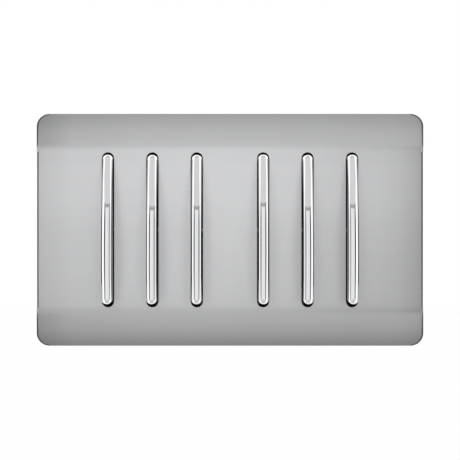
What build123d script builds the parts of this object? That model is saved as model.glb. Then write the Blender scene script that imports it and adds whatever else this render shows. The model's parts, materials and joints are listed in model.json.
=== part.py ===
"""Six-gang rocker light switch on a double-width steel plate, in millimetres.

X runs along the plate, Z is up and the front faces -Y. The wall is the plane
y = 0, and the origin is the middle of the plate on the wall.
"""

from build123d import *
import math
import os

os.makedirs("parts", exist_ok=True)

# Faceplate: one pressed sheet, flat in the middle, its top and bottom bent back
plate_corner = 4.8
plate_standoff = 7.0
sheet = 0.8
crease_margin = 1.7
bend_radius = 20.0
bend_angle = 9.0
wing_radius = 140.0
wing_flare = 0.3
flange_radius = 1.0
flange_depth = 4.2
slot_side_gap = 0.35
slot_end_gap = 1.0

# Gangs: two groups of three, side by side
gang_pitch = 17.25
gangs_per_group = 3
group_gap = 8.5

# Rocker: a slim bar, arched along its length, with a hollow stem behind it
rocker_width = 4.0
rocker_length = 58.1
crest_height = 6.8
crest_radius = 120.0
crest_bevel_width = 0.6
crest_bevel_depth = 0.6
skirt_behind_pivot = 0.4
stem_height = 4.4
stem_length = 7.0
rocker_tilt = 5.25

# Pivot pin and its cheeks
pin_radius = 1.0
cheek_wall = 0.9
cheek_thickness = 2.0

# Plunger and spring in the stem
plunger_radius = 1.05
plunger_bore_floor = 0.5
plunger_stroke = 0.4
plunger_seat_length = 3.2
spring_wire = 0.36
spring_turns = 4
spring_side_gap = 0.12

# See-saw contact
fulcrum_depth = 9.2
fulcrum_radius = 0.5
fulcrum_web = 0.6
lever_thickness = 0.8
lever_width = 4.0
lever_reach = 9.4
contact_reach = 8.0
contact_radius = 1.3
contact_height = 0.5
contact_gap = 0.2
lever_tilt = 8.0

# Terminals
strap_thickness = 0.8
strap_width = 2.4
way_strap_width = 4.0
block_width = 6.2
block_depth = 8.0
block_length = 10.0
wire_radius = 1.6
wire_wall = 0.8
wire_bore_length = 7.0
terminal_side = 3.7
clamp_radius = 1.25
clamp_head_radius = 2.2
clamp_head_height = 1.3
clamp_slot = 0.6

# Module housing and its back cover
module_gap = 0.6
module_end_gap = 0.9
module_wall = 1.2
module_front_wall = 1.5
module_split = 15.0
cover_floor = 1.55
ear_reach = 2.5
ear_width = 10.0
snap_reach = 0.8
snap_depth = 1.4
snap_width = 6.0
wire_window = 4.6

# Insulating liner behind the faceplate
liner_wall = 1.4
liner_inset = 1.0

# Pressed mounting frame
frame_strip = 5.35
frame_lug = 8.2
frame_side_gap = 4.1
frame_edge_gap = 6.2
frame_corner = 3.0
frame_thickness = 1.2
frame_rib_height = 2.2
frame_rib_margin = 16.5
clip_width = 8.0
clip_thickness = 1.2
clip_catch = 0.6
clip_window_height = 1.0

# Fixing screws, 120.6 mm apart as in a double wall box
fixing_gap = 4.3
fixing_radius = 1.75
fixing_neck_radius = 1.45
fixing_length = 25.0
fixing_head_radius = 3.3
fixing_head_height = 2.0
fixing_slot_length = 5.6
driver_slot = 1.0

# Earth terminal on the back of the frame
earth_offset = 20.0
earth_width = 6.0
earth_depth = 8.0
earth_length = 8.0
rivet_radius = 1.4
rivet_head_radius = 2.2
rivet_head_height = 0.7

# Clearances
fit = 0.05
running_gap = 0.25
soft_gap = 0.3
press_gap = 0.02
tool_clearance = 0.3

# Widths and heights that follow from the sizes above
slot_width = rocker_width + 2 * slot_side_gap
slot_length = rocker_length + 2 * slot_end_gap
crease_height = slot_length / 2 + crease_margin
module_width = gang_pitch - module_gap
module_inner_height = rocker_length / 2 + module_end_gap
module_half_height = module_inner_height + module_wall
block_z = module_inner_height - soft_gap
clamp_z = block_z - block_length / 2
group_width = gangs_per_group * gang_pitch
group_offset = (group_width + group_gap) / 2
fixing_spacing = 2 * (group_offset + group_width / 2 + fixing_gap)
window_height = 2 * module_half_height + soft_gap
frame_width = fixing_spacing + 2 * frame_lug
frame_height = window_height + 2 * frame_strip
frame_rib_length = frame_width - 2 * frame_rib_margin
liner_width = frame_width + 2 * (frame_side_gap + liner_wall)
liner_height = frame_height + 2 * (frame_edge_gap + liner_wall)
plate_width = liner_width + 2 * liner_inset
plate_height = liner_height + 2 * liner_inset
gang_centres = [
    side * group_offset + (i - (gangs_per_group - 1) / 2) * gang_pitch
    for side in (-1, 1)
    for i in range(gangs_per_group)
]

# Depths that follow from the sizes above, measured from the wall
front = -plate_standoff
liner_front = front + sheet
liner_back = liner_front + liner_wall
frame_front = -frame_thickness
module_front = frame_front - module_front_wall
pivot_y = liner_back + soft_gap + cheek_wall + pin_radius
skirt_y = pivot_y + skirt_behind_pivot
stem_y = skirt_y + stem_length
bore_y = pivot_y + pin_radius + plunger_bore_floor
lever_back = fulcrum_depth - fulcrum_radius - fit
lever_front = lever_back - lever_thickness
tip_y = lever_front - running_gap
lever_swing = contact_reach * math.tan(math.radians(lever_tilt))
strap_y = fulcrum_depth + lever_swing + contact_height + contact_gap
wire_y = strap_y + strap_thickness / 2
block_y = wire_y - wire_radius - wire_wall
block_back = block_y + block_depth
cover_y = block_back + fit
cover_back = cover_y + cover_floor


def span_box(x0, x1, y0, y1, z0, z1):
    """A box between two corners."""
    return Pos((x0 + x1) / 2, (y0 + y1) / 2, (z0 + z1) / 2) * Box(x1 - x0, y1 - y0, z1 - z0)


def rod_x(radius, length, y, z=0):
    """A round bar along X, centred on x = 0."""
    return Pos(0, y, z) * Rot(0, 90, 0) * Cylinder(radius, length)


def rod_y(radius, y0, y1, x=0, z=0):
    """A round bar along Y between two depths."""
    return Pos(x, (y0 + y1) / 2, z) * Rot(90, 0, 0) * Cylinder(radius, y1 - y0)


def rod_z(radius, z0, z1, x, y):
    """A round bar along Z between two heights."""
    return Pos(x, y, (z0 + z1) / 2) * Cylinder(radius, z1 - z0)


def prism_y(sketch, y0, y1):
    """A sketch in X and Z, drawn out between two depths."""
    return Pos(0, y1, 0) * extrude(Plane.XZ * sketch, y1 - y0)


def rounded_block(width, height, corner, y0, y1):
    """A plate with round corners between two depths."""
    return prism_y(RectangleRounded(width, height, corner), y0, y1)


def slot_block(width, length, y0, y1, x=0):
    """A slot with full-round ends, standing up, between two depths."""
    return Pos(x, 0, 0) * prism_y(Rot(0, 0, 90) * SlotOverall(length, width), y0, y1)


def turned(shape, degrees, y):
    """A shape turned about an X axis at one depth."""
    return Pos(0, y, 0) * Rot(degrees, 0, 0) * Pos(0, -y, 0) * shape


def skin_edges(depth, end_height):
    """The plate's side profile at a depth below its front, from -end_height to +end_height."""
    bend = math.radians(bend_angle)
    flat_end = crease_height - bend_radius * math.tan(bend / 2)
    bend_centre = (front + bend_radius, flat_end)
    wing_centre = (
        bend_centre[0] + (wing_radius - bend_radius) * math.cos(bend),
        bend_centre[1] - (wing_radius - bend_radius) * math.sin(bend),
    )
    end_angle = math.asin((end_height - wing_centre[1]) / (wing_radius - depth))

    def on_arc(centre, radius, angle):
        return (
            centre[0] - radius * math.cos(angle),
            centre[1] + radius * math.sin(angle),
        )

    inner, outer = bend_radius - depth, wing_radius - depth
    bend_points = [on_arc(bend_centre, inner, bend * t) for t in (0, 0.5, 1)]
    wing_points = [
        on_arc(wing_centre, outer, bend + (end_angle - bend) * t) for t in (0, 0.5, 1)
    ]
    mirror_points = [[(y, -z) for y, z in reversed(side)] for side in (bend_points, wing_points)]
    return [
        ThreePointArc(*mirror_points[1]),
        ThreePointArc(*mirror_points[0]),
        Line(mirror_points[0][-1], bend_points[0]),
        ThreePointArc(*bend_points),
        ThreePointArc(*wing_points),
    ]


def behind_skin(depth, back, width, end_height):
    """Everything from the plate's profile, at a depth below its front, back to one plane."""
    edges = skin_edges(depth, end_height)
    top, bottom = edges[-1] @ 1, edges[0] @ 0
    edges += [
        Line(top, (back, top.Y)),
        Line((back, top.Y), (back, bottom.Y)),
        Line((back, bottom.Y), bottom),
    ]
    return extrude(Plane.YZ * make_face(edges), width / 2, both=True)


def wing_outline(flat_half):
    """The wings' outline seen from the front: sides that flare a little, then round corners."""
    side, top = plate_width / 2, plate_height / 2
    flared, shoulder = side + wing_flare, top - plate_corner
    corner = plate_corner * math.sqrt(0.5)
    upper = [
        Line((-side, flat_half), (-flared, shoulder)),
        ThreePointArc(
            (-flared, shoulder),
            (-flared + plate_corner - corner, shoulder + corner),
            (-flared + plate_corner, top),
        ),
        Line((-flared + plate_corner, top), (flared - plate_corner, top)),
        ThreePointArc(
            (flared - plate_corner, top),
            (flared - plate_corner + corner, shoulder + corner),
            (flared, shoulder),
        ),
        Line((flared, shoulder), (side, flat_half)),
        Line((side, flat_half), (-side, flat_half)),
    ]
    wing = prism_y(make_face(upper), front, 0)
    return wing + mirror(wing, Plane.XY)


def faceplate():
    """The steel sheet: folded side edges in the flat middle, plain edges on the wings."""
    past_edge = plate_height / 2 + sheet
    past_side = plate_width + 4 * wing_flare
    outer = behind_skin(0, 0, past_side, past_edge)
    inner = behind_skin(sheet, 0, past_side, past_edge)
    flat_half = crease_height - bend_radius * math.tan(math.radians(bend_angle) / 2)
    wings = (outer - inner) & wing_outline(flat_half)

    side = plate_width / 2
    channel = [
        (-side, front + flange_depth),
        (-side, front),
        (side, front),
        (side, front + flange_depth),
        (side - sheet, front + flange_depth),
        (side - sheet, front + sheet),
        (-side + sheet, front + sheet),
        (-side + sheet, front + flange_depth),
    ]
    section = make_face(Polyline(*channel, close=True))
    folds = section.vertices().group_by(Axis.Y)
    section = fillet(folds[0], flange_radius)
    inner_folds = section.vertices().filter_by(lambda v: abs(v.Y - front - sheet) < fit)
    inner_folds = [v for v in inner_folds if abs(abs(v.X) - side + sheet) < fit]
    section = fillet(inner_folds, max(flange_radius - sheet, fit))
    middle = Pos(0, 0, -flat_half) * extrude(section, 2 * flat_half)

    plate = wings + middle
    for x in gang_centres:
        plate -= slot_block(slot_width, slot_length, front - 1, 0, x)
    return plate


def liner():
    """The moulded tray behind the sheet, with clips for the frame."""
    corner = plate_corner - liner_inset
    past_edge = plate_height / 2 + sheet
    outer = behind_skin(sheet, 0, liner_width, past_edge)
    outer &= rounded_block(liner_width, liner_height, corner, front, 0)
    inner = behind_skin(sheet + liner_wall, 0, liner_width, past_edge)
    inner &= rounded_block(
        liner_width - 2 * liner_wall, liner_height - 2 * liner_wall, corner - liner_wall, front, 1
    )
    tray = outer - inner
    for x in gang_centres:
        tray -= slot_block(
            slot_width + 2 * running_gap, slot_length + 2 * running_gap, front - 1, 0, x
        )
    clip_z = frame_height / 2 + soft_gap / 2
    catch_y = clip_window_y()
    for x in (-group_offset, group_offset):
        tongue = span_box(
            x - clip_width / 2,
            x + clip_width / 2,
            liner_back - fit,
            -tool_clearance,
            clip_z,
            clip_z + clip_thickness,
        )
        catch = span_box(
            x - clip_width / 2,
            x + clip_width / 2,
            catch_y + running_gap,
            catch_y + clip_window_height - running_gap,
            clip_z - soft_gap / 2 - clip_catch,
            clip_z + clip_thickness / 2,
        )
        for clip in (tongue, catch):
            tray += [clip, mirror(clip, Plane.XY)]
    return tray


def clip_window_y():
    """The front of the windows that the liner's clips catch in."""
    return frame_front - (frame_rib_height + clip_window_height) / 2


def mounting_frame():
    """The pressed steel frame that carries the modules and is screwed to the wall box."""
    frame = rounded_block(frame_width, frame_height, frame_corner, frame_front, 0)
    for side in (-1, 1):
        x = side * group_offset
        frame -= span_box(
            x - group_width / 2,
            x + group_width / 2,
            frame_front - 1,
            1,
            -window_height / 2,
            window_height / 2,
        )
        hole_x = side * fixing_spacing / 2
        frame -= slot_block(2 * (fixing_radius + running_gap), fixing_slot_length, frame_front - 1, 1, hole_x)
    frame -= rod_y(rivet_radius + press_gap, frame_front - 1, 1, 0, -earth_offset)
    rib = span_box(
        -frame_rib_length / 2,
        frame_rib_length / 2,
        frame_front - frame_rib_height,
        frame_front,
        frame_height / 2 - frame_thickness,
        frame_height / 2,
    )
    window_y = clip_window_y()
    for x in (-group_offset, group_offset):
        rib -= span_box(
            x - clip_width / 2 - running_gap,
            x + clip_width / 2 + running_gap,
            window_y,
            window_y + clip_window_height,
            frame_height / 2 - 2 * frame_thickness,
            frame_height / 2 + 1,
        )
    return frame + [rib, mirror(rib, Plane.XY)]


def fixing_screw(x):
    """A wall-box screw: slotted head, plain neck through the frame, threaded length behind it."""
    head = rod_y(fixing_head_radius, frame_front - fixing_head_height, frame_front, x)
    rim = head.edges().group_by(Axis.Y)[0]
    head = fillet(rim, fixing_head_height / 4)
    head -= span_box(
        x - fixing_head_radius,
        x + fixing_head_radius,
        frame_front - fixing_head_height,
        frame_front - fixing_head_height / 2,
        -driver_slot / 2,
        driver_slot / 2,
    )
    neck = rod_y(fixing_neck_radius, frame_front, soft_gap, x)
    thread = rod_y(fixing_radius, soft_gap, fixing_length, x)
    return head + neck + thread


def clamp_screw(x, z, tip, seat):
    """A terminal screw, backed off clear of the wire, its slotted head on the block."""
    shank = rod_y(clamp_radius, tip, seat + fit, x, z)
    head = rod_y(clamp_head_radius, seat + fit, seat + fit + clamp_head_height, x, z)
    slot = span_box(
        x - clamp_head_radius,
        x + clamp_head_radius,
        seat + fit + clamp_head_height / 2,
        seat + fit + clamp_head_height,
        z - clamp_slot / 2,
        z + clamp_slot / 2,
    )
    return shank + head - slot


def terminal_block(x, y0, y1, width, wire_depth, top, length, sign):
    """A brass block with a wire bore from its outer end and a screw hole from its back."""
    z0, z1 = sorted((sign * top, sign * (top - length)))
    block = span_box(x - width / 2, x + width / 2, y0, y1, z0, z1)
    bore_z = sorted((sign * (top - wire_bore_length), sign * (top + 1)))
    block -= rod_z(wire_radius, bore_z[0], bore_z[1], x, wire_depth)
    screw_z = sign * (top - length / 2)
    return block - rod_y(clamp_radius + fit, wire_depth, y1 + 1, x, screw_z)


def earth_terminal():
    """The earth block, riveted to the back of the frame between the two groups."""
    wire_depth = wire_wall + wire_radius
    block = terminal_block(
        0, 0, earth_depth, earth_width, wire_depth, earth_offset + earth_length / 2, earth_length, -1
    )
    rivet_y = frame_front - rivet_head_height
    rivet = rod_y(rivet_radius, frame_front, 0, 0, -earth_offset)
    head = rod_y(rivet_head_radius, rivet_y, frame_front, 0, -earth_offset)
    return block + rivet + head


def rocker():
    """The chrome bar with its stem, level about the pivot."""
    crest_y = front - crest_height
    bar = slot_block(rocker_width, rocker_length, crest_y - 1, skirt_y)
    bar &= rod_x(crest_radius, 2 * rocker_width, crest_y + crest_radius)
    face = bar.faces().sort_by(lambda f: f.center().Y)[0]
    bar = chamfer(face.edges(), crest_bevel_width, crest_bevel_depth, reference=face)
    stem = span_box(
        -rocker_width / 2, rocker_width / 2, skirt_y - 1, stem_y, -stem_height / 2, stem_height / 2
    )
    body = bar + stem
    body -= rod_x(pin_radius + fit, 2 * rocker_width, pivot_y)
    return body - rod_y(plunger_radius + fit, bore_y, stem_y + 1)


def plunger():
    """The round-nosed pin that slides in the stem and rides on the see-saw contact."""
    back = bore_y + plunger_seat_length
    shaft = rod_y(plunger_radius, back, tip_y - plunger_radius)
    return shaft + Pos(0, tip_y - plunger_radius, 0) * Sphere(plunger_radius)


def spring():
    """The plunger's coil spring, drawn at its length with the plunger pushed in."""
    radius = plunger_radius - spring_side_gap - spring_wire / 2
    length = plunger_seat_length - plunger_stroke - spring_wire - 2 * fit
    path = Helix(length / spring_turns, length, radius)
    wire = Plane(path @ 0, z_dir=path % 0) * Circle(spring_wire / 2)
    coil = sweep(wire, path)
    return Pos(0, bore_y + fit + spring_wire / 2, 0) * Rot(-90, 0, 0) * coil


def contact_lever():
    """The see-saw strip with a contact on each end, level on its fulcrum."""
    strip = span_box(
        -lever_width / 2, lever_width / 2, lever_front, lever_back, -lever_reach, lever_reach
    )
    for side in (-1, 1):
        strip += rod_y(
            contact_radius, lever_back, lever_back + contact_height, 0, side * contact_reach
        )
    return strip


def common_terminal():
    """The block, strap and fulcrum that the see-saw contact rocks on."""
    x = -terminal_side
    block = terminal_block(x, block_y, block_back, block_width, wire_y, block_z, block_length, 1)
    strap_x = x - block_width / 2
    strap_back = strap_y + strap_thickness
    strap = span_box(
        strap_x, strap_x + strap_width, strap_y, strap_back, -strap_width / 2, block_z - block_length
    )
    arm = span_box(
        strap_x, lever_width / 2, strap_y, strap_back, -strap_width / 2, strap_width / 2
    )
    web = span_box(
        -lever_width / 2, lever_width / 2, fulcrum_depth, strap_y, -fulcrum_web / 2, fulcrum_web / 2
    )
    ridge = rod_x(fulcrum_radius, lever_width, fulcrum_depth)
    return block + strap + arm + web + ridge


def way_terminal(x, sign):
    """One switched way: its block, strap and fixed contact."""
    block = terminal_block(x, block_y, block_back, block_width, wire_y, block_z, block_length, sign)
    reach_in = contact_reach - contact_radius
    z0, z1 = sorted((sign * reach_in, sign * (block_z - block_length)))
    strap = span_box(
        -way_strap_width / 2,
        max(way_strap_width / 2, x),
        strap_y,
        strap_y + strap_thickness,
        z0,
        z1,
    )
    contact_y = strap_y - contact_height / 2
    return block + strap + rod_y(contact_radius, contact_y, strap_y, 0, sign * contact_reach)


def housing():
    """The front moulding: rocker slot, pivot cheeks, ears for the frame and wire windows."""
    half = module_width / 2
    shell = span_box(
        -half, half, module_front, module_split, -module_half_height, module_half_height
    )
    shell -= span_box(
        -half + module_wall,
        half - module_wall,
        module_front + module_front_wall,
        module_split + 1,
        -module_inner_height,
        module_inner_height,
    )
    slot_half = rocker_width / 2 + running_gap
    shell -= span_box(
        -slot_half, slot_half, module_front - 1, 0, -module_inner_height, module_inner_height
    )
    ear = span_box(
        -ear_width / 2,
        ear_width / 2,
        module_front,
        frame_front,
        module_half_height,
        module_half_height + ear_reach,
    )
    snap_profile = make_face(
        Polyline(
            (press_gap, module_half_height),
            (press_gap, module_half_height + snap_reach),
            (snap_depth, module_half_height),
            close=True,
        )
    )
    snap = extrude(Plane.YZ * snap_profile, snap_width / 2, both=True)
    shell += [ear, mirror(ear, Plane.XY), snap, mirror(snap, Plane.XY)]
    cheek = rod_x(pin_radius + cheek_wall, cheek_thickness, pivot_y)
    for side in (-1, 1):
        shell += Pos(side * (slot_half + cheek_thickness / 2), 0, 0) * cheek
    shell -= rod_x(pin_radius + press_gap, 2 * (slot_half + cheek_thickness) + 1, pivot_y)
    window = wire_window / 2
    for x, sign in ((-terminal_side, 1), (terminal_side, 1), (0, -1)):
        z0, z1 = sorted((sign * (module_inner_height - 1), sign * (module_half_height + 1)))
        shell -= span_box(x - window, x + window, wire_y - window, wire_y + window, z0, z1)
    return shell


def back_cover():
    """The rear moulding that holds the terminals, with holes to reach their screws."""
    half = module_width / 2
    cover = span_box(-half, half, module_split, cover_back, -module_half_height, module_half_height)
    cover -= span_box(
        -half + module_wall,
        half - module_wall,
        module_split - 1,
        cover_y,
        -module_inner_height,
        module_inner_height,
    )
    for x, z in clamp_places():
        cover -= rod_y(clamp_head_radius + tool_clearance, cover_y - 1, cover_back + 1, x, z)
    return cover


def clamp_places():
    """Where a module's three terminal screws stand, in X and Z."""
    return ((-terminal_side, clamp_z), (terminal_side, clamp_z), (0, -clamp_z))


def write(name, shape):
    """Save one node."""
    export_step(shape, f"parts/{name}.step")


def group(shapes):
    """Separate solids that share one node."""
    return Compound(children=list(shapes))


slot_half_width = rocker_width / 2 + running_gap
pin = rod_x(pin_radius, 2 * (slot_half_width + cheek_thickness), pivot_y)
clamp_tip = wire_y + wire_radius + tool_clearance
earth_tip = wire_wall + 2 * wire_radius + tool_clearance

write("faceplate", faceplate())
write("liner", liner())
write("mounting_frame", mounting_frame())
write("fixing_screws", group(fixing_screw(side * fixing_spacing / 2) for side in (-1, 1)))
write("earth_terminal", earth_terminal())
write("earth_screw", clamp_screw(0, -earth_offset, earth_tip, earth_depth))
write("pivot_pins", group(Pos(x, 0, 0) * pin for x in gang_centres))
write(
    "terminal_screws",
    group(
        clamp_screw(x + side_x, z, clamp_tip, block_back)
        for x in gang_centres
        for side_x, z in clamp_places()
    ),
)

# Each gang rests with the top of its rocker pressed in
moving = {
    "rocker": turned(rocker(), -rocker_tilt, pivot_y),
    "plunger": turned(plunger(), -rocker_tilt, pivot_y),
    "spring": turned(spring(), -rocker_tilt, pivot_y),
    "contact_lever": turned(contact_lever(), lever_tilt, fulcrum_depth),
}
fixed = {
    "common_terminal": common_terminal(),
    "way_terminals": group((way_terminal(terminal_side, 1), way_terminal(0, -1))),
    "housing": housing(),
    "back_cover": back_cover(),
}
for gang, x in enumerate(gang_centres, start=1):
    for name, shape in {**moving, **fixed}.items():
        write(f"{name}_{gang}", Pos(x, 0, 0) * shape)
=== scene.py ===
# %% [markdown]
# A wide six-gang light switch, dressed for its portrait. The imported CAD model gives
# every piece its place and size. Blender adds what a camera sees: brushed steel,
# chrome, moulded plastic, rolled threads and softened edges. Everything is in metres,
# X along the plate, Z up, and the front of the switch faces -Y.

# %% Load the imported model
import bmesh
import bpy
import json
import math
from mathutils import Matrix, Vector


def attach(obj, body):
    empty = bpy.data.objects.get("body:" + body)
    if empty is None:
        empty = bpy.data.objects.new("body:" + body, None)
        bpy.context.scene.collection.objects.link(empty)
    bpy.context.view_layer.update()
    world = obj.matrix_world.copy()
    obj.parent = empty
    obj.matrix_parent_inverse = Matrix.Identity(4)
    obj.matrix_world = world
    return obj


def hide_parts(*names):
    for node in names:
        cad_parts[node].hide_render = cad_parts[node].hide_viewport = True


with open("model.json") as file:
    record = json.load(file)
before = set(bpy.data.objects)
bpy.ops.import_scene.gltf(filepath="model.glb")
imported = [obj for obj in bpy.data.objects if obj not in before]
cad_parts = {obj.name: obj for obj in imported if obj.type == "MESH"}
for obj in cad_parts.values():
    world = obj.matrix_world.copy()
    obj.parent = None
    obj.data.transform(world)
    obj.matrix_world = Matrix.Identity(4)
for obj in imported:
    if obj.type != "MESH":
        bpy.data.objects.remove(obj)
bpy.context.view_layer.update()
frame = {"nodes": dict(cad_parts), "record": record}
nodes = frame["nodes"]
MM = 0.001
GANGS = range(1, 7)
for plain in list(bpy.data.materials):
    bpy.data.materials.remove(plain)

# %% [markdown]
# The photograph is taken square-on from close by: the arched rockers near the left
# and right edges show their inner flanks. A lens of 97 mm half a metre away gives
# the same view. The tiny shift puts the plate where it sits in the picture.

# %% Camera
FRAME_PIXELS = 460
PICTURE_SHIFT_PIXELS = -0.2
VIEW_WIDTH = 178.6 * MM
CAMERA_DISTANCE = 480 * MM
PLATE_FRONT = -7 * MM
SENSOR = 36.0

camera_data = bpy.data.cameras.new("camera")
camera_data.sensor_width = SENSOR
camera_data.lens = SENSOR * CAMERA_DISTANCE / VIEW_WIDTH
camera_data.shift_y = PICTURE_SHIFT_PIXELS / FRAME_PIXELS
camera = bpy.data.objects.new("camera", camera_data)
camera.location = (0, PLATE_FRONT - CAMERA_DISTANCE, 0)
camera.rotation_euler = (math.radians(90), 0, 0)
bpy.context.scene.collection.objects.link(camera)
bpy.context.scene.camera = camera
bpy.context.scene.view_settings.view_transform = "Standard"
print("lens", round(camera_data.lens, 1))


# %% [markdown]
# Shader trees are easier to read as a few short lines. These helpers add a node, set its plain values,
# and join what feeds it. Sockets that are given a number are set directly on the node.

# %% Shader helpers
def add(tree, kind, settings=None, **inputs):
    """A shader node, its settings, and its inputs as values or as other nodes' outputs."""
    node = tree.nodes.new(kind)
    for name, value in (settings or {}).items():
        setattr(node, name, value)
    for name, value in inputs.items():
        key = int(name[1:]) if name[0] == "i" and name[1:].isdigit() else name.replace("_", " ")
        socket = node.inputs[key]
        if isinstance(value, bpy.types.NodeSocket):
            tree.links.new(value, socket)
        else:
            socket.default_value = value
    return node


def math_node(tree, operation, first, second=0.0):
    """The output of one Math node."""
    return add(tree, "ShaderNodeMath", {"operation": operation}, i0=first, i1=second).outputs[0]


def remap(tree, value, low, high, to_low=0.0, to_high=1.0, smooth=True):
    """A value eased from one range to another."""
    kind = "SMOOTHSTEP" if smooth else "LINEAR"
    node = add(tree, "ShaderNodeMapRange", {"interpolation_type": kind}, i0=value)
    for index, number in enumerate((low, high, to_low, to_high), start=1):
        node.inputs[index].default_value = number
    return node.outputs[0]


def grey_ramp(tree, value, stops):
    """A colour ramp of greys: stops are (position, level)."""
    ramp = add(tree, "ShaderNodeValToRGB", Fac=value)
    elements = ramp.color_ramp.elements
    while len(elements) < len(stops):
        elements.new(0.5)
    for element, (position, level) in zip(elements, stops):
        element.position = position
        element.color = (level, level, level, 1)
    return ramp.outputs[0]


def mixed(tree, factor, first, second, blend="MIX"):
    """Two colours mixed by a factor."""
    settings = {"data_type": "RGBA", "blend_type": blend}
    return add(tree, "ShaderNodeMix", settings, i0=factor, i6=first, i7=second).outputs[2]


def multiplied(tree, first, second):
    """One colour dimmed by another."""
    return mixed(tree, 1.0, first, second, "MULTIPLY")


def vector_math(tree, operation, first, second=(0, 0, 0)):
    """A Vector Math node."""
    return add(tree, "ShaderNodeVectorMath", {"operation": operation}, i0=first, i1=second)


def parts_of(tree, vector):
    """The X, Y and Z of a vector."""
    return add(tree, "ShaderNodeSeparateXYZ", Vector=vector).outputs


def front_facing(tree):
    """How far the surface faces the front: 1 straight on, 0 from the side."""
    normal = add(tree, "ShaderNodeNewGeometry").outputs["Normal"]
    return math_node(tree, "MULTIPLY", parts_of(tree, normal)[1], -1.0)


print("helpers ready")

# %% [markdown]
# Chrome shows whatever surrounds it, so the room is part of its look. It is measured
# in degrees to the side and up, as seen from the switch: a square bright panel round
# the camera with a dark rim, white walls beyond it, and deep shade far to the sides.
# Each level is a grey, and where it changes, a short list gives it angle by angle.

# %% Room angles and levels
PANEL_SIDE = 12.4
PANEL_LOW = -21.0
PANEL_HIGH = 18.2
RIM_SIDE = 20.0
RIM_HIGH = 19.4
PANEL_SOFT = 1.2
RIM_SOFT = 1.6
TOP_RIM_LEVEL = (0.3, 0.3, 0.3, 1)
GREY_SIDE_ABOVE = 21.0
WALL_LEVEL = (1.15, 1.15, 1.15, 1)
SHADE_START = 44.0
SHADE_END = 165.0
SHADE_HEIGHT = 35.0
SHADE_LEVELS = ((-35, 0.01), (6, 0.01), (14, 0.2), (35, 0.3))
PANEL_LEVELS = ((-20, 0.8), (-3, 0.84), (3, 0.8), (20, 0.76))
SIDE_RIM_LEVELS = ((-30, 0.5), (-20, 0.27), (-9, 0.08), (3, 0.02), (13, 0.03), (17, 0.2), (20, 0.3))
ELEVATION_LEVELS = (
    (-90, 0.6), (-60, 0.6), (-40, 0.58), (-28, 0.62), (-22, 0.66),
    (20, 0.66), (44, 0.68), (54, 0.5), (66, 0.8), (90, 1.0),
)


def step(tree, value, edge, soft=0.6):
    """A mask that turns on as a value passes an edge."""
    return remap(tree, value, edge - soft / 2, edge + soft / 2)


def band(tree, value, low, high, soft=0.6):
    """A mask that is on between two edges."""
    return math_node(tree, "SUBTRACT", step(tree, value, low, soft), step(tree, value, high, soft))


def angle_ramp(tree, angle, levels):
    """Grey levels set at angles in degrees."""
    low, high = levels[0][0], levels[-1][0]
    share = remap(tree, angle, low, high, smooth=False)
    return grey_ramp(tree, share, [((at - low) / (high - low), level) for at, level in levels])


print("panel", PANEL_SIDE, "rim", RIM_SIDE, "shade", SHADE_START, "to", SHADE_END)

# %% [markdown]
# The room is one world shader. It starts as a soft ceiling and floor, and the walls,
# the shade, the rim and the panel are laid over it one by one, each through its own
# mask. The camera itself sees plain white.

# %% World
world = bpy.data.worlds.new("studio")
bpy.context.scene.world = world
world.use_nodes = True
tree = world.node_tree
tree.nodes.clear()
direction = add(tree, "ShaderNodeTexCoord").outputs["Generated"]
axes = parts_of(tree, direction)
toward_camera = math_node(tree, "MULTIPLY", axes[1], -1.0)
azimuth = math_node(tree, "DEGREES", math_node(tree, "ARCTAN2", axes[0], toward_camera))
elevation = math_node(tree, "DEGREES", math_node(tree, "ARCSINE", axes[2]))
side_angle = math_node(tree, "ABSOLUTE", azimuth)
room = angle_ramp(tree, elevation, ELEVATION_LEVELS)
wall_edge = remap(tree, elevation, PANEL_HIGH, RIM_HIGH, RIM_SIDE, GREY_SIDE_ABOVE)
walls = step(tree, math_node(tree, "SUBTRACT", side_angle, wall_edge), 0)
room = mixed(tree, walls, room, WALL_LEVEL)
shade_height = band(tree, elevation, -SHADE_HEIGHT, SHADE_HEIGHT)
shade = math_node(tree, "MULTIPLY", shade_height, band(tree, side_angle, SHADE_START, SHADE_END))
room = mixed(tree, shade, room, angle_ramp(tree, elevation, SHADE_LEVELS))
rim_width = band(tree, azimuth, -RIM_SIDE, RIM_SIDE)
rim = math_node(tree, "MULTIPLY", rim_width, band(tree, elevation, PANEL_LOW, RIM_HIGH, RIM_SOFT))
room = mixed(tree, rim, room, TOP_RIM_LEVEL)
side_rim = math_node(tree, "MULTIPLY", step(tree, side_angle, PANEL_SIDE), rim)
room = mixed(tree, side_rim, room, angle_ramp(tree, elevation, SIDE_RIM_LEVELS))
panel_width = band(tree, azimuth, -PANEL_SIDE, PANEL_SIDE)
panel_height = band(tree, elevation, PANEL_LOW, PANEL_HIGH, PANEL_SOFT)
panel = math_node(tree, "MULTIPLY", panel_width, panel_height)
room = mixed(tree, panel, room, angle_ramp(tree, azimuth, PANEL_LEVELS))
studio = add(tree, "ShaderNodeBackground", Color=room, Strength=1.0)
white = add(tree, "ShaderNodeBackground", Color=(1, 1, 1, 1), Strength=1.0)
seen = add(tree, "ShaderNodeLightPath").outputs["Is Camera Ray"]
chosen = add(tree, "ShaderNodeMixShader", i0=seen, i1=studio.outputs[0], i2=white.outputs[0])
add(tree, "ShaderNodeOutputWorld", Surface=chosen.outputs[0])
print("world nodes", len(tree.nodes))

# %% [markdown]
# The floor is a pale sheet some way below the plate. To the camera and in
# reflections it is nearly white, as the paper of a studio is, and a share of plain
# diffuse keeps the object's shadow on it.

# %% Floor
FLOOR_DEPTH = -160 * MM
FLOOR_HALF = 1.05
FLOOR_BACK = 0.95
PAPER_SHARE = 0.95
PAPER_COLOUR = (0.93, 0.93, 0.93, 1)

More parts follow.
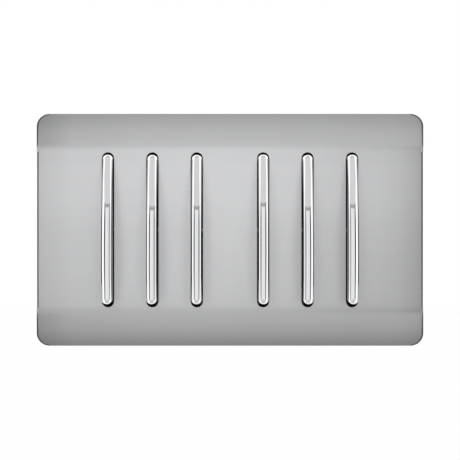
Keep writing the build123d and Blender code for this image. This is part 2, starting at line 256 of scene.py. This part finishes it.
paper = bpy.data.materials.new("pale_paper")
paper.use_nodes = True
tree = paper.node_tree
tree.nodes.clear()
paths = add(tree, "ShaderNodeLightPath").outputs
direct = math_node(tree, "MAXIMUM", paths["Is Camera Ray"], paths["Is Glossy Ray"])
direct = math_node(tree, "MAXIMUM", direct, paths["Is Transmission Ray"])
share = math_node(tree, "MULTIPLY", direct, PAPER_SHARE)
matt = add(tree, "ShaderNodeBsdfDiffuse", Color=PAPER_COLOUR)
glow = add(tree, "ShaderNodeEmission", Color=(1, 1, 1, 1), Strength=1.0)
mixed_paper = add(tree, "ShaderNodeMixShader", i0=share, i1=matt.outputs[0], i2=glow.outputs[0])
add(tree, "ShaderNodeOutputMaterial", Surface=mixed_paper.outputs[0])

bm = bmesh.new()
bmesh.ops.create_grid(bm, x_segments=1, y_segments=1, size=FLOOR_HALF)
bmesh.ops.translate(bm, verts=bm.verts, vec=(0, FLOOR_BACK, FLOOR_DEPTH))
floor_mesh = bpy.data.meshes.new("floor")
bm.to_mesh(floor_mesh)
bm.free()
floor_mesh.materials.append(paper)
floor = bpy.data.objects.new("floor", floor_mesh)
bpy.context.scene.collection.objects.link(floor)
print("floor at", FLOOR_DEPTH)


# %% [markdown]
# Three effects come back in several finishes: fine parallel brushing, the pebbly
# grain of a spark-eroded mould, and the faint clouds that handling leaves. Each is a
# group that puts out a value from 0 to 1, built once and given its own scale in
# every material.

# %% Effect groups
def effect_group(name, inputs, outputs):
    """An empty shader node group with float sockets."""
    group = bpy.data.node_groups.new(name, "ShaderNodeTree")
    for socket, default in inputs:
        made = group.interface.new_socket(socket, in_out="INPUT", socket_type="NodeSocketFloat")
        made.default_value = default
    for socket in outputs:
        group.interface.new_socket(socket, in_out="OUTPUT", socket_type="NodeSocketFloat")
    return group, group.nodes.new("NodeGroupInput"), group.nodes.new("NodeGroupOutput")


def brushing_group():
    """Long fine scratches along X, thin in Z."""
    group, given, put = effect_group(
        "fine_brushing", [("Lines per metre", 4200.0), ("Streak per metre", 18.0)], ["Streaks", "Bands"]
    )
    place = add(group, "ShaderNodeTexCoord").outputs["Object"]
    scale = add(
        group, "ShaderNodeCombineXYZ", X=given.outputs[1], Y=given.outputs[0], Z=given.outputs[0]
    ).outputs[0]
    stretched = vector_math(group, "MULTIPLY", place, scale).outputs[0]
    fine = add(group, "ShaderNodeTexNoise", Vector=stretched, Scale=1.0, Detail=3.0, Roughness=0.7)
    group.links.new(fine.outputs[0], put.inputs[0])
    coarse = add(group, "ShaderNodeTexNoise", Vector=stretched, Scale=0.16, Detail=2.0)
    group.links.new(coarse.outputs[0], put.inputs[1])
    return group


def grain_group():
    """Pebbly mould grain."""
    group, given, put = effect_group(
        "mould_grain", [("Grains per metre", 2600.0)], ["Grain", "Patches"]
    )
    place = add(group, "ShaderNodeTexCoord").outputs["Object"]
    fine = add(
        group, "ShaderNodeTexNoise", Vector=place, Scale=given.outputs[0], Detail=2.0, Roughness=0.6
    )
    group.links.new(fine.outputs[0], put.inputs[0])
    patches = add(group, "ShaderNodeTexNoise", Vector=place, Scale=55.0, Detail=3.0)
    group.links.new(patches.outputs[0], put.inputs[1])
    return group


def haze_group():
    """Soft clouds and small flecks from handling."""
    group, given, put = effect_group(
        "handling_haze", [("Clouds per metre", 30.0)], ["Clouds", "Flecks"]
    )
    place = add(group, "ShaderNodeTexCoord").outputs["Object"]
    clouds = add(
        group, "ShaderNodeTexNoise", Vector=place, Scale=given.outputs[0], Detail=4.0, Roughness=0.55
    )
    group.links.new(clouds.outputs[0], put.inputs[0])
    flecks = add(group, "ShaderNodeTexVoronoi", Vector=place, Scale=900.0, Randomness=1.0)
    small = remap(group, flecks.outputs[0], 0.05, 0.2, 1, 0)
    group.links.new(small, put.inputs[1])
    return group


BRUSHING = brushing_group()
GRAIN = grain_group()
HAZE = haze_group()
print("effect groups", [g.name for g in bpy.data.node_groups])


# %% [markdown]
# Every finish starts the same way: an effect group, a base colour that drifts
# between two shades, a roughness that drifts too, and a shallow bump. The helpers
# below keep the materials short, and what differs is in each material's own numbers.

# %% Finish helpers
def place_group(tree, group, **inputs):
    """An effect group placed in a material with its own values."""
    node = tree.nodes.new("ShaderNodeGroup")
    node.node_tree = group
    for name, value in inputs.items():
        node.inputs[name.replace("_", " ")].default_value = value
    return node.outputs


def finish_material(name, metallic, **plain):
    """A material with one Principled shader and its plain socket values."""
    material = bpy.data.materials.new(name)
    material.use_nodes = True
    tree = material.node_tree
    tree.nodes.clear()
    shader = add(tree, "ShaderNodeBsdfPrincipled", Metallic=metallic, **plain)
    add(tree, "ShaderNodeOutputMaterial", Surface=shader.outputs[0])
    return material, tree, shader


def colour_between(tree, shader, factor, first, second):
    """Base colour that drifts between two shades."""
    tree.links.new(mixed(tree, factor, (*first, 1), (*second, 1)), shader.inputs["Base Color"])


def roughness_between(tree, shader, factor, smooth, rough):
    """Roughness that drifts between two levels."""
    tree.links.new(remap(tree, factor, 0.25, 0.75, smooth, rough, False), shader.inputs["Roughness"])


def bumped(tree, shader, height, distance, strength=1.0):
    """A shallow relief in metres."""
    bump = add(tree, "ShaderNodeBump", Height=height, Strength=strength, Distance=distance)
    tree.links.new(bump.outputs[0], shader.inputs["Normal"])


print("finish helpers ready")

# %% [markdown]
# The plate is stainless sheet, brushed along its length with a fine belt. At arm's length the lines run
# together into a soft sheen, so the streaks are finer than a pixel and only shade the tone a little. On
# top of that, a painted sheen is multiplied into the base colour: the light a large soft lamp would
# give, brightest a little above the middle and darker towards the edges, most of all to the right and
# at the bottom. The two bent margins are painted at another level.

# %% Plate painted sheen
# Painted sheen levels from left to right and from bottom to top: painted light laid into the base
# colour.
PAINTED_SHEEN_ACROSS = (
    (0.0, 0.8), (0.02, 0.865), (0.09, 0.96), (0.25, 0.985), (0.5, 1.0), (0.65, 0.955),
    (0.76, 0.89), (0.875, 0.85), (0.93, 0.8), (0.98, 0.672), (1.0, 0.58),
)
PAINTED_WING_SHEEN_ACROSS = (
    (0.0, 0.7), (0.02, 0.745), (0.09, 0.93), (0.25, 0.985), (0.5, 1.0), (0.65, 0.975),
    (0.76, 0.96), (0.875, 0.935), (0.93, 0.91), (0.98, 0.84), (1.0, 0.74),
)
PAINTED_SHEEN_UP = (
    (0.0, 0.38), (0.025, 0.46), (0.07, 0.59), (0.11, 0.66), (0.152, 0.71), (0.175, 0.81),
    (0.24, 0.85), (0.5, 0.92), (0.63, 0.985), (0.76, 1.0), (0.844, 0.96), (0.869, 0.79),
    (0.89, 0.75), (0.93, 0.7), (1.0, 0.54),
)
HALF_WIDTH = 75 * MM
HALF_HEIGHT = 45 * MM
PAINTED_FOLD_BOW = 0.6 * MM
BOW_HEIGHT = 30 * MM
WING_START = 31.3 * MM
WING_FULL = 33.5 * MM
STEEL_DARK = (0.875, 0.88, 0.89, 1)
STEEL_LIGHT = (0.92, 0.925, 0.935, 1)

brushed_steel, tree, shader = finish_material("brushed_steel_plate", 1.0)
brushing = place_group(tree, BRUSHING, Lines_per_metre=5200.0, Streak_per_metre=16.0)
haze = place_group(tree, HAZE, Clouds_per_metre=14.0)
tone = math_node(tree, "MULTIPLY_ADD", brushing["Streaks"], 0.5)
tree.links.new(haze["Clouds"], tone.node.inputs[2])
steel = mixed(tree, remap(tree, tone, 0.55, 0.95), STEEL_DARK, STEEL_LIGHT)
place = add(tree, "ShaderNodeTexCoord").outputs["Object"]
across, _, up = parts_of(tree, place)
mirrored = vector_math(tree, "ABSOLUTE", place).outputs[0]
wing = remap(tree, parts_of(tree, mirrored)[2], WING_START, WING_FULL)
from_left = remap(tree, across, -HALF_WIDTH, HALF_WIDTH, smooth=False)
painted_middle_sheen = grey_ramp(tree, from_left, PAINTED_SHEEN_ACROSS)
painted_sheen_across = mixed(tree, wing, painted_middle_sheen, grey_ramp(tree, from_left, PAINTED_WING_SHEEN_ACROSS))
# The painted step at each bent margin is bowed a little lower towards the plate's ends.
outward = math_node(tree, "POWER", math_node(tree, "DIVIDE", across, HALF_WIDTH), 2.0)
bow = math_node(tree, "MULTIPLY", outward, remap(tree, up, 0, BOW_HEIGHT, 0, PAINTED_FOLD_BOW))
bowed = math_node(tree, "ADD", up, bow)
painted_sheen_up = grey_ramp(tree, remap(tree, bowed, -HALF_HEIGHT, HALF_HEIGHT, smooth=False), PAINTED_SHEEN_UP)
# The painted sheen multiplies the brushed steel's colour.
steel_with_painted_sheen = multiplied(tree, steel, multiplied(tree, painted_sheen_across, painted_sheen_up))
print(brushed_steel.name, "sheen")

# %% [markdown]
# Where the press turned the sheet over at its ends, the curved edge is given a thin dark line of
# painted shade, standing in for the dark reflection it shows. One mask finds that curved edge by where
# its surface turns away from the front, and another follows the margins' ends and the round corners,
# which take the same painted shade.

# %% Plate edges with painted shade
SQUARE_PART = (70.2 * MM, 1.0, 40.45 * MM)
EDGE_START = 3.8 * MM
EDGE_END = 4.0 * MM
TURNED_FROM = 0.08
TURNED_TO = 0.92
TURNED_SOFT = 0.06
CORNER_START = 0.2 * MM
CORNER_LINE = 4.4 * MM
CORNER_SOFT = 0.2 * MM
FRONT_LIMIT = 0.4
FRONT_SOFT = 0.2
# Grey of the painted shade on the turned ends and round corners.
PAINTED_EDGE_SHADE_GREY = (0.12, 0.12, 0.122, 1)

beyond = vector_math(tree, "SUBTRACT", mirrored, SQUARE_PART).outputs[0]
outside = vector_math(tree, "MAXIMUM", beyond).outputs[0]
reach = vector_math(tree, "LENGTH", outside).outputs["Value"]
forward = front_facing(tree)
turned = band(tree, forward, TURNED_FROM, TURNED_TO, TURNED_SOFT)
bend_shade_mask = math_node(tree, "MULTIPLY", turned, remap(tree, reach, EDGE_START, EDGE_END))
past_side = parts_of(tree, beyond)[0]
corner_shade_mask = math_node(tree, "MULTIPLY", wing, step(tree, past_side, CORNER_START, CORNER_START))
corner_shade_mask = math_node(tree, "MULTIPLY", corner_shade_mask, step(tree, reach, CORNER_LINE, CORNER_SOFT))
corner_shade_mask = math_node(tree, "MULTIPLY", corner_shade_mask, step(tree, forward, FRONT_LIMIT, FRONT_SOFT))
# The painted shade is laid over the sheen-painted steel wherever either mask is on.
painted_edge_shade = mixed(tree, math_node(tree, "MAXIMUM", bend_shade_mask, corner_shade_mask), steel_with_painted_sheen, PAINTED_EDGE_SHADE_GREY)
tree.links.new(painted_edge_shade, shader.inputs["Base Color"])
roughness_between(tree, shader, brushing["Bands"], 0.38, 0.44)
bumped(tree, shader, brushing["Streaks"], 0.000012, 0.35)
print(brushed_steel.name, "nodes", len(tree.nodes))

# %% [markdown]
# The rockers are bright chrome on plastic: almost a mirror. A real plated moulding
# is never perfectly true, so a very long shallow ripple bends its reflections a hair.
# The deep flank faces are painted a darker grey, a painted shade that stands in for the dark reflection
# along each rocker's shoulder.

# %% Chrome
CHROME_DARK = (0.93, 0.935, 0.95, 1)
CHROME_LIGHT = (0.96, 0.965, 0.975, 1)
FLANK_SHADE_GREY = (0.5, 0.5, 0.505, 1)
FLANK_FROM = 0.3
FLANK_TO = 0.55

chrome, tree, shader = finish_material("chrome_rocker", 1.0)
haze = place_group(tree, HAZE, Clouds_per_metre=60.0)
bright = mixed(tree, haze["Clouds"], CHROME_DARK, CHROME_LIGHT)
# Painted shade: the colour darkens where the surface turns away from the front.
painted_flank_shade = remap(tree, front_facing(tree), FLANK_FROM, FLANK_TO, 1, 0)
tree.links.new(mixed(tree, painted_flank_shade, bright, FLANK_SHADE_GREY), shader.inputs["Base Color"])
roughness_between(tree, shader, haze["Clouds"], 0.015, 0.035)
bumped(tree, shader, haze["Clouds"], 0.00002, 0.3)
print(chrome.name)


# %% [markdown]
# The liner and the module housings are moulded plastic. The mould was spark-eroded,
# which leaves a pebbly grain of about half a millimetre and an uneven dull sheen.

# %% Mouldings
def moulding(name, dark, light, smooth, rough, grains):
    """Grained thermoplastic."""
    material, tree, shader = finish_material(name, 0.0)
    grain = place_group(tree, GRAIN, Grains_per_metre=grains)
    colour_between(tree, shader, grain["Patches"], dark, light)
    roughness_between(tree, shader, grain["Grain"], smooth, rough)
    bumped(tree, shader, grain["Grain"], 0.00003, 0.5)
    return material


black_moulding = moulding(
    "black_moulding", dark=(0.018, 0.018, 0.02), light=(0.035, 0.035, 0.038),
    smooth=0.42, rough=0.62, grains=2400,
)
grey_moulding = moulding(
    "grey_moulding", dark=(0.27, 0.28, 0.29), light=(0.34, 0.35, 0.36),
    smooth=0.4, rough=0.58, grains=2400,
)
white_nylon = moulding(
    "white_nylon", dark=(0.72, 0.71, 0.66), light=(0.82, 0.81, 0.77),
    smooth=0.35, rough=0.5, grains=1500,
)
print(black_moulding.name, grey_moulding.name, white_nylon.name)


# %% [markdown]
# The hidden metal is plainer: zinc plate with its cloudy spangle on the frame,
# turned screws, drawn brass with a little tarnish, and spring wire. One helper mixes
# two shades by cloudy noise, and each metal sets its own colours and sheen.

# %% Plain metals
def cloudy_metal(name, first, second, smooth, rough, clouds, relief=0.00001):
    """Metal that drifts between two shades in soft clouds, with small flecks."""
    material, tree, shader = finish_material(name, 1.0)
    haze = place_group(tree, HAZE, Clouds_per_metre=clouds)
    tone = remap(tree, haze["Clouds"], 0.38, 0.62)
    colour_between(tree, shader, tone, first, second)
    wear = math_node(tree, "MULTIPLY_ADD", haze["Flecks"], 0.2)
    tree.links.new(haze["Clouds"], wear.node.inputs[2])
    roughness_between(tree, shader, wear, smooth, rough)
    bumped(tree, shader, haze["Clouds"], relief, 0.5)
    return material


zinc_plate = cloudy_metal("zinc_plated_steel", (0.52, 0.53, 0.54), (0.64, 0.64, 0.62), 0.26, 0.42, 160)
screw_steel = cloudy_metal("screw_steel", (0.5, 0.5, 0.5), (0.66, 0.65, 0.62), 0.22, 0.36, 300)
spring_steel = cloudy_metal("spring_steel", (0.36, 0.36, 0.37), (0.5, 0.5, 0.5), 0.2, 0.35, 500)
terminal_brass = cloudy_metal("terminal_brass", (0.62, 0.45, 0.19), (0.78, 0.6, 0.3), 0.2, 0.38, 140)
contact_metal = cloudy_metal("contact_metal", (0.66, 0.42, 0.27), (0.78, 0.55, 0.38), 0.2, 0.36, 200)
METALS = (zinc_plate, screw_steel, spring_steel, terminal_brass, contact_metal)
print("metals", [metal.name for metal in METALS])

# %% [markdown]
# Every CAD node takes the finish of its slot in the record. The slot's name is the
# material's name, so one loop dresses all of them, and pieces that are remade below
# take theirs in the same way.

# %% Dress the CAD nodes
SLOT_OF = {part["node"]: part["material_slot"] for part in frame["record"]["subparts"]}
FINISHES = {
    m.name: m
    for m in (brushed_steel, chrome, black_moulding, grey_moulding, white_nylon, *METALS)
}
for name, node in nodes.items():
    node.data.materials.clear()
    node.data.materials.append(FINISHES[SLOT_OF[name]])
print("dressed", len(nodes), "nodes in", len(FINISHES), "finishes")


# %% [markdown]
# New pieces share their last steps. The mesh becomes an object at the origin, takes
# its finish, turns smooth except at real corners, stands in for its CAD node, and
# rides on that node's body.

# %% Piece helpers
SMOOTH_ANGLE = math.radians(31)
MERGE_DISTANCE = 0.002
BODY_OF = {n: body for body, members in frame["record"]["behaviour"]["bodies"].items() for n in members}


def piece_from(bm, name, node):
    """A finished piece from a bmesh, standing for a CAD node."""
    bmesh.ops.recalc_face_normals(bm, faces=bm.faces)
    for face in bm.faces:
        face.smooth = True
    mesh = bpy.data.meshes.new(name)
    bm.to_mesh(mesh)
    bm.free()
    mesh.set_sharp_from_angle(angle=SMOOTH_ANGLE)
    mesh.materials.append(FINISHES[SLOT_OF[node]])
    piece = bpy.data.objects.new(name, mesh)
    bpy.context.scene.collection.objects.link(piece)
    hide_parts(node)
    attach(piece, BODY_OF[node])
    return piece


def even_shading(piece):
    """Large flat faces keep flat shading right up to their rounded edges."""
    weighted = piece.modifiers.new("even_shading", "WEIGHTED_NORMAL")
    weighted.keep_sharp = True
    return piece


def merged_copy(node):
    """A bmesh copy of a CAD node with its loose triangles joined."""
    bm = bmesh.new()
    bm.from_mesh(nodes[node].data)
    bmesh.ops.remove_doubles(bm, verts=bm.verts, dist=MERGE_DISTANCE * MM)
    return bm


print("piece helpers ready")

# %% [markdown]
# Pressed and moulded pieces have no knife edges. A copy of the CAD mesh is merged,
# and every real corner gets a small round of two segments. The plate's own round is
# the finest, as a deburred sheet's is, and its tiniest edges stay as they are.

# %% Softened edges
CORNER_ANGLE = math.radians(40)
PLATE_ROUND = 0.12 * MM
PLATE_SHORTEST = 0.27 * MM
LINER_ROUND = 0.15 * MM
FRAME_ROUND = 0.12 * MM
HOUSING_ROUND = 0.15 * MM
COVER_ROUND = 0.2 * MM


def softened(node, name, radius, shortest=0.0):
    """The CAD node's shape with its corners rounded, except along edges shorter than a limit."""
    bm = merged_copy(node)
    corners = [
        e for e in bm.edges
        if len(e.link_faces) == 2 and e.calc_face_angle() > CORNER_ANGLE and e.calc_length() > shortest
    ]
    bmesh.ops.bevel(
        bm, geom=corners, offset=radius, offset_type="OFFSET", segments=2, profile=0.5,
        affect="EDGES", clamp_overlap=False, material=-1,
    )
    print(name, "corners", len(corners), "faces", len(bm.faces))
    return even_shading(piece_from(bm, name, node))


softened("faceplate", "plate_sheet", PLATE_ROUND, PLATE_SHORTEST)
softened("liner", "plate_liner", LINER_ROUND)
softened("mounting_frame", "wall_frame", FRAME_ROUND)
for gang in GANGS:
    softened(f"housing_{gang}", f"module_housing_{gang}", HOUSING_ROUND)
    softened(f"back_cover_{gang}", f"module_cover_{gang}", COVER_ROUND)

# %% [markdown]
# A rocker is a slim arched bar with full-round ends and a polished, slightly crowned
# crest between two bevels. Polishing rounds the crest a little more towards its edges,
# so its half section is drawn as short steps, each with its own width and slope.
# The sizes are in millimetres, for a level rocker at the middle of the plate.

# %% Rocker section
ROCKER_HALF_WIDTH = 2.0
ROCKER_HALF_LENGTH = 29.05
CREST_RADIUS = 120.0
CROWN_HALF_WIDTH = 1.43
CROWN_SLOPE = 12.6
CROWN_SPREAD = 1.12
CROWN_STEPS = 9
BEVEL_STEPS = ((0.18, 17.5), (0.15, 21.5), (0.07, 31.0), (0.1, 42.0), (0.06, 50.0), (0.01, 70.0))


def half_section():
    """Points from the crest's middle to the flank as (x, depth) in mm."""
    points, x, depth = [(0.0, 0.0)], 0.0, 0.0
    crown = [
        (CROWN_HALF_WIDTH / CROWN_STEPS, CROWN_SLOPE * ((i + 0.5) / CROWN_STEPS) ** CROWN_SPREAD)
        for i in range(CROWN_STEPS)
    ]
    for run, slope in crown + list(BEVEL_STEPS):
        x += run
        depth += run * math.tan(math.radians(slope))
        points.append((x, depth))
    scale = ROCKER_HALF_WIDTH / x
    return [(px * scale, d) for px, d in points]


SECTION = half_section()
RIM_DEPTH = SECTION[-1][1]
print("section", len(SECTION), "points, rim depth", round(RIM_DEPTH, 2))

# %% [markdown]
# The section is spun along the crest's long arc, as a form cutter would follow it, and
# half a turn at each end. The rim is then drawn straight back with a mould's draft to
# the flat skirt, which hides inside the slot. The low end reaches a little further.

# %% Rocker bar
HIGH_END = 28.7
LOW_END = -29.4
CREST_Y = -13.8
BASE_Y = -6.4
BASE_FLARE = 0.05
SKIRT_Y = -2.2
RIM_LEAN = RIM_DEPTH * (ROCKER_HALF_LENGTH - ROCKER_HALF_WIDTH) / CREST_RADIUS
END_REACH = RIM_LEAN - ROCKER_HALF_WIDTH


def arc_point(x, depth, angle):
    """A point of the level bar at an angle along the crest's arc."""
    centre_y = CREST_Y + CREST_RADIUS
    reach = CREST_RADIUS - depth
    return Vector((x, centre_y - reach * math.cos(angle), reach * math.sin(angle)))


def strip_of(bm, points):
    """A run of joined edges."""
    verts = [bm.verts.new(p) for p in points]
    edges = [bm.edges.new(pair) for pair in zip(verts, verts[1:])]
    return verts + edges


def bar_shell(long_steps=56, end_steps=20):
    """The crest, bevels and round ends of the level bar, open at the back, in mm."""
    bm = bmesh.new()
    centre = Vector((0, CREST_Y + CREST_RADIUS, 0))
    low_angle = math.asin((LOW_END - END_REACH) / CREST_RADIUS)
    high_angle = math.asin((HIGH_END + END_REACH) / CREST_RADIUS)
    across = [(-x, d) for x, d in reversed(SECTION[1:])] + SECTION
    section = strip_of(bm, [arc_point(x, d, low_angle) for x, d in across])
    bmesh.ops.spin(
        bm, geom=section, cent=centre, axis=(-1, 0, 0), angle=high_angle - low_angle, steps=long_steps,
        use_merge=False, use_duplicate=False,
    )
    for end_angle, turn in ((low_angle, math.pi), (high_angle, -math.pi)):
        half = strip_of(bm, [arc_point(x, d, end_angle) for x, d in SECTION])
        axis = (centre - arc_point(0, 0, end_angle)).normalized()
        bmesh.ops.spin(
            bm, geom=half, cent=centre, axis=axis, angle=turn, steps=end_steps,
            use_merge=False, use_duplicate=False,
        )
    bmesh.ops.remove_doubles(bm, verts=bm.verts, dist=MERGE_DISTANCE)
    return bm


def drawn_back(bm):
    """The rim drawn back with a mould's draft, then to the skirt, and closed."""
    edge = [e for e in bm.edges if e.is_boundary]
    for level, flare in ((BASE_Y, BASE_FLARE), (SKIRT_Y, 0.0)):
        grown = bmesh.ops.extrude_edge_only(bm, edges=edge)["geom"]
        for item in grown:
            if isinstance(item, bmesh.types.BMVert):
                item.co.x *= 1 + flare / ROCKER_HALF_WIDTH
                item.co.y = level
                item.co.z *= 1 + flare / ROCKER_HALF_LENGTH
        edge = [e for e in grown if isinstance(e, bmesh.types.BMEdge) and e.is_boundary]
    bmesh.ops.contextual_create(bm, geom=edge)
    return bm


trial = drawn_back(bar_shell())
ends = [v.co.z for v in trial.verts]
print("bar from", round(min(ends), 2), "to", round(max(ends), 2))
print("open edges", sum(e.is_boundary for e in trial.edges))
trial.free()

# %% [markdown]
# The stem behind the bar carries the pivot hole and the plunger's bore. They are cut
# with Boolean modifiers from round cutters, and the result is kept as a plain mesh.

# %% Rocker stem
STEM_BACK_Y = 4.8
STEM_HALF_HEIGHT = 2.2
STEM_ROOT = 1.0
PIVOT_Y = -2.6
PIN_HOLE_RADIUS = 1.05
PIN_CUTTER_HALF = 3.0
PLUNGER_HOLE_RADIUS = 1.1
PLUNGER_HOLE_Y = -1.1
CUTTER_OVERRUN = 1.0


def loose_object(bm, name):
    """A temporary object for a Boolean."""
    bmesh.ops.recalc_face_normals(bm, faces=bm.faces)
    mesh = bpy.data.meshes.new(name)
    bm.to_mesh(mesh)
    bm.free()
    made = bpy.data.objects.new(name, mesh)
    bpy.context.scene.collection.objects.link(made)
    return made


def box_between(low, high):
    """A bmesh box between two corners, in mm."""
    bm = bmesh.new()
    bmesh.ops.create_cube(bm, size=1)
    low, high = Vector(low), Vector(high)
    bmesh.ops.scale(bm, vec=high - low, verts=bm.verts)
    bmesh.ops.translate(bm, vec=(low + high) / 2, verts=bm.verts)
    return bm


def round_cutter(radius, start, end, segments=40):
    """A bmesh cylinder between two points, in mm."""
    bm = bmesh.new()
    start, end = Vector(start), Vector(end)
    bmesh.ops.create_cone(
        bm, cap_ends=True, segments=segments, radius1=radius, radius2=radius, depth=(end - start).length
    )
    turn = (end - start).to_track_quat("Z", "Y").to_matrix().to_4x4()
    bmesh.ops.transform(bm, matrix=Matrix.Translation((start + end) / 2) @ turn, verts=bm.verts)
    return bm


def boolean(target, tool_bm, operation):
    """One Boolean, applied to the target's mesh."""
    tool = loose_object(tool_bm, "cutter")
    modifier = target.modifiers.new("cut", "BOOLEAN")
    modifier.operation = operation
    modifier.solver = "EXACT"
    modifier.object = tool
    graph = bpy.context.evaluated_depsgraph_get()
    result = bpy.data.meshes.new_from_object(target.evaluated_get(graph))
    target.modifiers.clear()
    old = target.data
    target.data = result
    bpy.data.meshes.remove(old)
    bpy.data.objects.remove(tool)


def rocker_blank():
    """The level rocker with stem, pivot hole and plunger bore, in mm at x = 0."""
    blank = loose_object(drawn_back(bar_shell()), "rocker_blank")
    half = ROCKER_HALF_WIDTH
    stem_front = (-half, SKIRT_Y - STEM_ROOT, -STEM_HALF_HEIGHT)
    stem = box_between(stem_front, (half, STEM_BACK_Y, STEM_HALF_HEIGHT))
    pin = round_cutter(PIN_HOLE_RADIUS, (-PIN_CUTTER_HALF, PIVOT_Y, 0), (PIN_CUTTER_HALF, PIVOT_Y, 0))
    bore_end = (0, STEM_BACK_Y + CUTTER_OVERRUN, 0)
    bore = round_cutter(PLUNGER_HOLE_RADIUS, (0, PLUNGER_HOLE_Y, 0), bore_end)
    boolean(blank, stem, "UNION")
    boolean(blank, pin, "DIFFERENCE")
    boolean(blank, bore, "DIFFERENCE")
    return blank


blank = rocker_blank()
print("blank", len(blank.data.polygons), "faces")

# %% [markdown]
# All six rockers rest with their tops pressed in. Real mouldings differ a little, so
# each crest leans by a fraction of a degree about its highest point, and the break in
# its reflection sits slightly higher or lower than its neighbour's. The outer rockers'
# upper parts are also twisted a hair, which keeps the reflected panel centred there.

# %% Six rockers
REST_TILT = math.radians(-5.25)
GANG_X = (-47.375, -30.125, -12.875, 12.875, 30.125, 47.375)
CREST_TOP_Z = CREST_RADIUS * math.sin(REST_TILT)
CREST_SHIFTS = (-0.65, 0.55, 0.3, -1.05, 0.75, -0.35)
CREST_ZONE_Y = SKIRT_Y - 5
CROWN_TWIST = 0.00105
TWIST_START = 11.0
TWIST_LENGTH = 8.0

for gang, x, shift in zip(GANGS, GANG_X, CREST_SHIFTS):
    bm = bmesh.new()
    bm.from_mesh(blank.data)
    for v in bm.verts:
        if v.co.y < CREST_ZONE_Y:
            lean = shift * (v.co.z - CREST_TOP_Z + shift / 2) / CREST_RADIUS
            twist = CROWN_TWIST * x * min(max((v.co.z - TWIST_START) / TWIST_LENGTH, 0), 1)
            v.co.y += lean - twist * v.co.x
    pivot = Vector((0, PIVOT_Y, 0))
    bmesh.ops.rotate(bm, cent=pivot, matrix=Matrix.Rotation(REST_TILT, 3, "X"), verts=bm.verts)
    bmesh.ops.translate(bm, vec=(x, 0, 0), verts=bm.verts)
    bmesh.ops.scale(bm, vec=(MM, MM, MM), verts=bm.verts)
    even_shading(piece_from(bm, f"chrome_bar_{gang}", f"rocker_{gang}"))
bpy.data.objects.remove(blank)
print("rockers", len(GANG_X))

# %% [markdown]
# The two wall screws show their rolled threads from the side and back. The shank of
# the CAD copy is drawn in to the thread's root, and a small ridge is spun round and
# along it at the same time, closed at both ends.

# %% Threaded wall screws
FIXING_X = 60.3 * MM
THREAD_PITCH = 0.6 * MM
THREAD_START_Y = 0.9 * MM
THREAD_END_Y = 24.6 * MM
THREAD_ROOT = 1.42 * MM
THREAD_CREST = 1.75 * MM
THREAD_FLAT = 0.06 * MM
THREAD_FOOT = THREAD_PITCH * 0.42
STEPS_PER_TURN = 20


def thread_ridge(bm, x):
    """The raised helix of one screw."""
    profile = (
        (THREAD_ROOT, -THREAD_FOOT), (THREAD_CREST, -THREAD_FLAT),
        (THREAD_CREST, THREAD_FLAT), (THREAD_ROOT, THREAD_FOOT),
    )
    face = bm.faces.new([bm.verts.new((x + r, THREAD_START_Y + y, 0)) for r, y in profile])
    steps = int((THREAD_END_Y - THREAD_START_Y) / THREAD_PITCH) * STEPS_PER_TURN
    bmesh.ops.spin(
        bm, geom=[face], cent=(x, 0, 0), axis=(0, 1, 0), dvec=(0, THREAD_PITCH / STEPS_PER_TURN, 0),
        angle=steps * 2 * math.pi / STEPS_PER_TURN, steps=steps, use_merge=False, use_duplicate=False,
    )


def threaded_screws():
    """Both wall screws with their threads."""
    bm = merged_copy("fixing_screws")
    for v in bm.verts:
        x = math.copysign(FIXING_X, v.co.x)
        out = Vector((v.co.x - x, 0, v.co.z))
        if v.co.y > 0 and out.length > THREAD_ROOT:
            out.length = THREAD_ROOT
            v.co = Vector((x + out.x, v.co.y, out.z))
    for x in (-FIXING_X, FIXING_X):
        thread_ridge(bm, x)
    return bm


screws = piece_from(threaded_screws(), "threaded_screws", "fixing_screws")
print("screws", len(screws.data.polygons), "faces")
